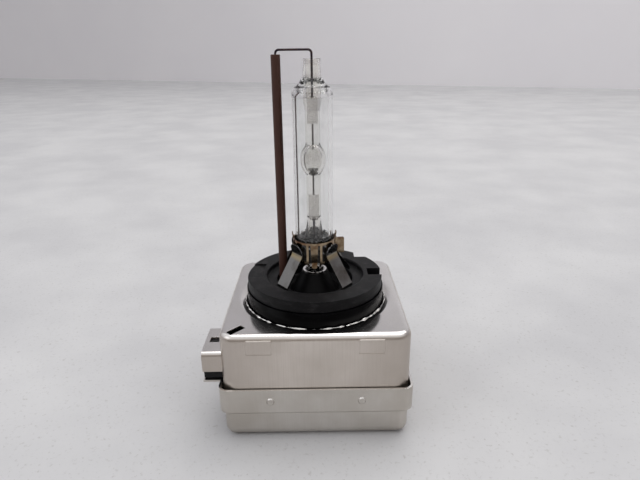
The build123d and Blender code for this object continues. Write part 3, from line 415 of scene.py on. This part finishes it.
# Every CAD node that stays, by the start of its name, and the material it takes
finishes = {
    "upper_can": upperSheet, "lower_lid": lowerSheet, "base_flange": flangeResin,
    "igniter_housing": neckResin, "housing_cover": neckResin, "connector_housing": socketResin,
    "connector_pin": metals["tinnedBrass"], "high_voltage_terminal": metals["tinnedBrass"],
    "return_terminal": metals["tinnedBrass"], "spark_gap_cap": metals["tinnedBrass"],
    "clamp_strap": strapSteel, "clamp_collar": collarSteel, "stem_crown": metals["brightNickel"],
    "ceramic_tube": brownCeramic, "spark_gap_barrel": gapCeramic, "return_wire": metals["oxidisedWire"],
    "upper_lead": metals["oxidisedWire"], "lower_lead": metals["oxidisedWire"],
    "upper_electrode": metals["drawnTungsten"], "lower_electrode": metals["drawnTungsten"],
    "upper_foil": metals["etchedMolybdenum"], "lower_foil": metals["etchedMolybdenum"],
    "outer_envelope": envelopeQuartz, "arc_tube": chamberQuartz,
    "circuit_board": solids["boardLaminate"], "transformer_core": solids["pressedFerrite"],
    "choke_core": solids["pressedFerrite"], "transformer_bobbin": solids["mouldedBobbin"],
    "ignition_capacitor": solids["dippedEpoxy"], "bleed_resistor": solids["dippedEpoxy"],
    "secondary_section": copper, "primary_winding": copper, "choke_winding": copper,
}
for nodeName, node in nodes.items():
    finish = next(material for start, material in finishes.items() if nodeName.startswith(start))
    for index in range(len(node.material_slots)):
        node.material_slots[index].material = finish
print("finishes put on", len(nodes), "nodes")


def newPiece(name, meshBuild, material, standsFor=()):
    mesh = bpy.data.meshes.new(name)
    meshBuild.to_mesh(mesh)
    meshBuild.free()
    mesh.materials.append(material)
    piece = bpy.data.objects.new(name, mesh)
    scene.collection.objects.link(piece)
    for face in mesh.polygons:
        face.use_smooth = True
    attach(piece, "root")
    if standsFor:
        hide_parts(*standsFor)
    return piece


def rounded(points, radii, steps=6):
    # corners of a closed outline turned into short curves; radii in the units of the points
    made = []
    for i, (corner, radius) in enumerate(zip(points, radii)):
        here = Vector(corner)
        if radius == 0:
            made.append(here)
            continue
        start = here + (Vector(points[i - 1]) - here).normalized() * radius
        end = here + (Vector(points[(i + 1) % len(points)]) - here).normalized() * radius
        for step in range(steps + 1):
            t = step / steps
            made.append(start * (1 - t) ** 2 + here * 2 * t * (1 - t) + end * t * t)
    return made


def turned(build, outline, closed=True, around=144, hold=0.05):
    # a profile of radius and height in mm turned about the lamp axis; long runs get a ring near each end,
    # which keeps the smooth shading of the straight walls true
    held = []
    for here, there in zip(outline, outline[1:] + outline[:1] if closed else outline[1:]):
        held.append(here)
        run = Vector(there) - Vector(here)
        if run.length > 6 * hold:
            held += [Vector(here) + run.normalized() * hold, Vector(there) - run.normalized() * hold]
    outline = held if closed else held + [outline[-1]]
    rings = []
    for radius, height in outline:
        if radius < 1e-6:
            rings.append([build.verts.new((0, 0, height * mm))] * around)
            continue
        ring = []
        for i in range(around):
            angle = 2 * math.pi * i / around
            x, y = radius * mm * math.cos(angle), radius * mm * math.sin(angle)
            ring.append(build.verts.new((x, y, height * mm)))
        rings.append(ring)
    pairs = zip(rings, rings[1:] + rings[:1]) if closed else zip(rings, rings[1:])
    for low, high in pairs:
        for i in range(around):
            j = (i + 1) % around
            corners = []
            for vert in (low[i], low[j], high[j], high[i]):
                if vert not in corners:
                    corners.append(vert)
            if len(corners) > 2:
                build.faces.new(corners)


# Outer glass: one thick-walled sleeve whose ends are shrunk on to the inner tube
glass = {
    "radius": 4.35, "wall": 0.9, "skirt": 3.5, "shoulder": 41.3, "web": 8.3, "stem": 1.95, "waist": 1.6,
    "gap": 0.02, "tip": 48.0, "tipRadius": 1.84, "neckRadius": 1.72, "foot": -1.6, "bore": 1.25, "arc": 27.1,
    "bulb": (2.8, 3.7), "cavity": (1.85, 2.9), "pinch": 0.12, "foilToArc": 7.8, "foilLength": 5.4,
    "blend": 8, "steps": 150, "cavitySteps": 40,
}
bore = glass["radius"] - glass["wall"]
stemOut = glass["stem"] + glass["gap"]
top = glass["shoulder"]
web = glass["web"]
outerCorners = [
    # radius and height of each corner, and how much it is rounded
    (bore, glass["skirt"], 0.3),
    (glass["radius"], glass["skirt"], 0.3),
    (glass["radius"], top + 0.9, 1.2),
    (stemOut + 1.1, top + 1.4, 0.9),
    (stemOut + 0.15, top + 3.0, 0.1),
    (stemOut, top + 3.0, 0),
    (stemOut, top + 1.3, 0),
    (stemOut + 0.7, top + 0.6, 0.3),
    (bore, top - 0.4, 0.6),
    (bore, web + 0.9, 0.6),
    (stemOut, web + 0.6, 0),
    (stemOut, web - 0.9, 0),
    (bore, web - 1.1, 0.6),
]
sleeve = rounded([corner[:2] for corner in outerCorners], [corner[2] for corner in outerCorners])
build = bmesh.new()
turned(build, sleeve)
bmesh.ops.recalc_face_normals(build, faces=build.faces)
newPiece("glass_sleeve", build, envelopeQuartz, ["outer_envelope"])

# Inner glass: a tube pinched solid on its foils, blown to a bulb round the arc
stemTable = [
    # heights and radii of the inner tube, which is slimmer along its waist
    (glass["foot"], glass["stem"]), (10.3, glass["stem"]), (13.3, glass["waist"]), (37.3, glass["waist"]),
    (40.3, glass["stem"]), (44.6, glass["stem"]), (47.2, glass["neckRadius"]),
    (glass["tip"], glass["tipRadius"]),
]


def stemRadius(height):
    for (z0, r0), (z1, r1) in zip(stemTable, stemTable[1:]):
        if height <= z1:
            t = max(0.0, (height - z0) / (z1 - z0))
            return r0 + (r1 - r0) * t * t * (3 - 2 * t)
    return stemTable[-1][1]


def innerGlassRadius(height):
    wide, tall = glass["bulb"]
    share = 1 - ((height - glass["arc"]) / tall) ** 2
    bulb = wide * math.sqrt(share) if share > 0 else 0.0
    power = glass["blend"]
    return (stemRadius(height) ** power + bulb ** power) ** (1 / power)


upperBoreStart = glass["arc"] + glass["foilToArc"] + glass["foilLength"]
lowerBoreEnd = glass["arc"] - glass["foilToArc"] - glass["foilLength"]
stemBore = glass["bore"]
reach = glass["tip"] - glass["foot"]
outside = [glass["foot"] + reach * i / glass["steps"] for i in range(glass["steps"] + 1)]
profile = [
    (0, upperBoreStart + 0.9), (stemBore * 0.7, upperBoreStart + 0.5), (stemBore, upperBoreStart - 0.1),
    (stemBore, glass["tip"] - 0.05), (stemBore + 0.1, glass["tip"]),
]
profile += [(innerGlassRadius(z), z) for z in reversed(outside)]
profile += [
    (stemBore, glass["foot"]), (stemBore, lowerBoreEnd + 0.1), (stemBore * 0.7, lowerBoreEnd - 0.5),
    (0, lowerBoreEnd - 0.9),
]
build = bmesh.new()
turned(build, profile, closed=False)
bmesh.ops.recalc_face_normals(build, faces=build.faces)
cavity = []
for i in range(glass["cavitySteps"] + 1):
    angle = math.pi * (i / glass["cavitySteps"] - 0.5)
    pinch = 1 + glass["pinch"] * math.sin(angle) ** 8
    width = glass["cavity"][0] * math.cos(angle) if 0 < i < glass["cavitySteps"] else 0
    cavity.append((width, glass["arc"] + glass["cavity"][1] * math.sin(angle) * pinch))
turned(build, list(reversed(cavity)), closed=False)
newPiece("glass_arc_tube", build, chamberQuartz, ["arc_tube"])

# Thin films: haze on the chamber wall and salt at its foot; dark patches of painted shade at the lower seal
# and a dark sheet of painted shade behind the collar


def filmShell(name, outline, material, around=96):
    build = bmesh.new()
    turned(build, outline, closed=False, around=around)
    return newPiece(name, build, material)


film = 0.06
filmShell("chamber_haze", [(max(r - film, 0), z) for r, z in cavity[4:-4]], chamberFilm)
filmShell("salt_pool", [(max(r - 2 * film, 0.2), z + film) for r, z in cavity[1:11]], saltFilm)
# painted shade sheets: dark blotches at the lower seal and a dark sheet behind the collar
filmShell("painted_seal_shade", [(3.36, 10.1), (3.38, 9.6), (3.3, 9.25), (2.7, 9.05), (2.1, 9.0)], paintedSealShade)
filmShell("painted_collar_shade", [(4.5, 3.95), (4.5, 5.0), (4.5, 7.6), (4.5, 8.7)], paintedCollarShade)
print("glass made")

# Torn, bright edge where the can is pierced for the neck
rim = {
    "radius": 16.56, "thick": 0.13, "level": -5.98, "raise": 0.4, "around": 420, "section": 10,
    "crinkleMm": 0.17, "broadWaves": 9, "fineWaves": 31, "fineShare": 0.8, "seed": 3.7,
    "thickSpread": 1.3, "liftWaves": 14, "liftSeed": 8.7,
}
build = bmesh.new()
rows = []
for i in range(rim["around"]):
    angle = 2 * math.pi * i / rim["around"]
    out = Vector((math.cos(angle), math.sin(angle), 0))
    seed = Vector((0, 0, rim["seed"]))
    wobble = noise.noise(out * rim["broadWaves"] + seed)
    wobble += rim["fineShare"] * noise.noise(out * rim["fineWaves"] + seed)
    lift = noise.noise(out * rim["liftWaves"] + Vector((0, 0, rim["liftSeed"])))
    thick = rim["thick"] * (1 + rim["thickSpread"] * lift)
    ring = []
    for k in range(rim["section"]):
        turn = 2 * math.pi * k / rim["section"]
        reach = rim["radius"] + wobble * rim["crinkleMm"] + thick * math.cos(turn)
        rise = rim["level"] + thick * (rim["raise"] + math.sin(turn))
        ring.append(build.verts.new(out * reach * mm + Vector((0, 0, rise * mm))))
    rows.append(ring)
for i in range(rim["around"]):
    here, there = rows[i], rows[(i + 1) % rim["around"]]
    for k in range(rim["section"]):
        following = (k + 1) % rim["section"]
        build.faces.new((here[k], there[k], there[following], here[following]))
bmesh.ops.recalc_face_normals(build, faces=build.faces)
newPiece("can_hole_edge", build, metals["brightNickel"])
print("small pieces made")

# Work surface, back wall, lights and camera
floorTop = cadBox[0].z
stage = {
    "table": "#CBCBCC", "tableCloud": "#BFBFC1", "tableCloudMm": 45.0, "tableSpeck": "#918D88",
    "tableSpeckTint": 0.5,
    "wall": "#F2F1F4", "wallCloud": "#EEEDF1", "wallTint": 0.2, "wallCloudMm": 400.0, "wallHeight": 2.5,
    "edgeLeft": (-1.28, 2.02), "edgeRight": (0.74, 0.98), "reach": 6.0,
}


def paintedSurface(name, colour, cloud, speck, speckTint, cloudMm):
    # Painted board: pale, matt, faintly mottled
    material, tree, shader, place = newMaterial(name, {"IOR": 1.45})
    broad = patches(tree, place, cloudMm, detail=4)
    fine = patches(tree, place, 0.9, detail=5, edge=0.7)
    tone = blendColours(tree, spread(tree, broad, 0, 1), colour, cloud)
    flecks = spread(tree, fine, 0, speckTint, 0.58, 0.72)
    join(tree, blendColours(tree, flecks, tone, speck), shader, "Base Color")
    join(tree, spread(tree, fine, 0.55, 0.7), shader, "Roughness")
    relief(tree, shader, [(fine, 0.03)])
    return material


def stageSheet(name, corners, material):
    build = bmesh.new()
    build.faces.new([build.verts.new(c) for c in corners])
    mesh = bpy.data.meshes.new(name)
    build.to_mesh(mesh)
    build.free()
    mesh.materials.append(material)
    sheet = bpy.data.objects.new(name, mesh)
    scene.collection.objects.link(sheet)
    return sheet


left, right = Vector(stage["edgeLeft"]), Vector(stage["edgeRight"])
along = (right - left).normalized()
ends = [left - along * stage["reach"], right + along * stage["reach"]]
near = Vector((along.y, -along.x)) * stage["reach"]
tableCorners = [ends[0] + near, ends[1] + near, ends[1], ends[0]]
tablePaint = paintedSurface("paintedBoard", stage["table"], stage["tableCloud"], stage["tableSpeck"],
                            stage["tableSpeckTint"], stage["tableCloudMm"])
wallPaint = paintedSurface("paintedWall", stage["wall"], stage["wallCloud"], stage["wallCloud"],
                           stage["wallTint"], stage["wallCloudMm"])
stageSheet("table_top", [(p.x, p.y, floorTop) for p in tableCorners], tablePaint)
wallCorners = [(p.x, p.y, floorTop) for p in ends] + [(p.x, p.y, stage["wallHeight"]) for p in reversed(ends)]
stageSheet("back_wall", wallCorners, wallPaint)

sky = bpy.data.worlds.new("roomLight")
scene.world = sky
sky.use_nodes = True
tree = sky.node_tree
tree.nodes.clear()
room = {"near": "#786A5E", "far": "#DCDCE2", "ceiling": "#FAFAFC", "strength": 0.9,
        "nearToFar": (-0.9, 0.3), "wallToCeiling": (0.1, 0.8)}
way = addNode(tree, "SeparateXYZ", {0: addNode(tree, "TexCoord", {}).outputs["Generated"]}).outputs
soft = {"interpolation_type": "SMOOTHSTEP", 3: 0.0, 4: 1.0}
start, end = room["nearToFar"]
acrossRoom = addNode(tree, "MapRange", {**soft, "Value": way["Y"], 1: start, 2: end}).outputs[0]
start, end = room["wallToCeiling"]
overhead = addNode(tree, "MapRange", {**soft, "Value": way["Z"], 1: start, 2: end}).outputs[0]
walls = blendColours(tree, acrossRoom, room["near"], room["far"])
air = blendColours(tree, overhead, walls, room["ceiling"])
glow = addNode(tree, "Background", {"Color": air, "Strength": room["strength"]})
addNode(tree, "OutputWorld", {"Surface": glow.outputs[0]})

lamps = {
    "overhead": {"place": (0.22, 0.35, 1.0), "aim": (0, 0.05, 0), "size": 1.1, "watts": 6.5,
                 "colour": "#FFFDFA"},
    "leftFill": {"place": (-0.8, -0.3, 0.7), "aim": (0, 0, 0), "size": 0.6, "watts": 1.0,
                 "colour": "#F4F8FF"},
}
for lampName, lamp in lamps.items():
    light = bpy.data.lights.new(lampName, "AREA")
    light.size = lamp["size"]
    light.energy = lamp["watts"]
    light.color = linear(lamp["colour"])[:3]
    holder = bpy.data.objects.new(lampName, light)
    holder.location = lamp["place"]
    holder.rotation_euler = (Vector(lamp["aim"]) - Vector(lamp["place"])).to_track_quat("-Z", "Y").to_euler()
    scene.collection.objects.link(holder)

view = {"place": (0.000681, -0.11035, 0.04901), "turn": 0.332, "down": 20.325, "lean": -0.651, "lens": 28.38,
        "sensor": 36, "clip": (0.005, 50)}
turn, down, lean = (math.radians(view[k]) for k in ("turn", "down", "lean"))
ahead = Vector((math.sin(turn) * math.cos(down), math.cos(turn) * math.cos(down), -math.sin(down)))
level = Vector((math.cos(turn), -math.sin(turn), 0))
upright = level.cross(ahead)
side = level * math.cos(lean) + upright * math.sin(lean)
rise = upright * math.cos(lean) - level * math.sin(lean)
lens = bpy.data.cameras.new("mainView")
lens.lens = view["lens"]
lens.sensor_width = view["sensor"]
lens.clip_start, lens.clip_end = view["clip"]
camera = bpy.data.objects.new("mainView", lens)
camera.matrix_world = Matrix((side, rise, -ahead)).transposed().to_4x4()
camera.location = view["place"]
scene.collection.objects.link(camera)
scene.camera = camera
scene.view_settings.view_transform = "Standard"
print("stage, lights and camera set")
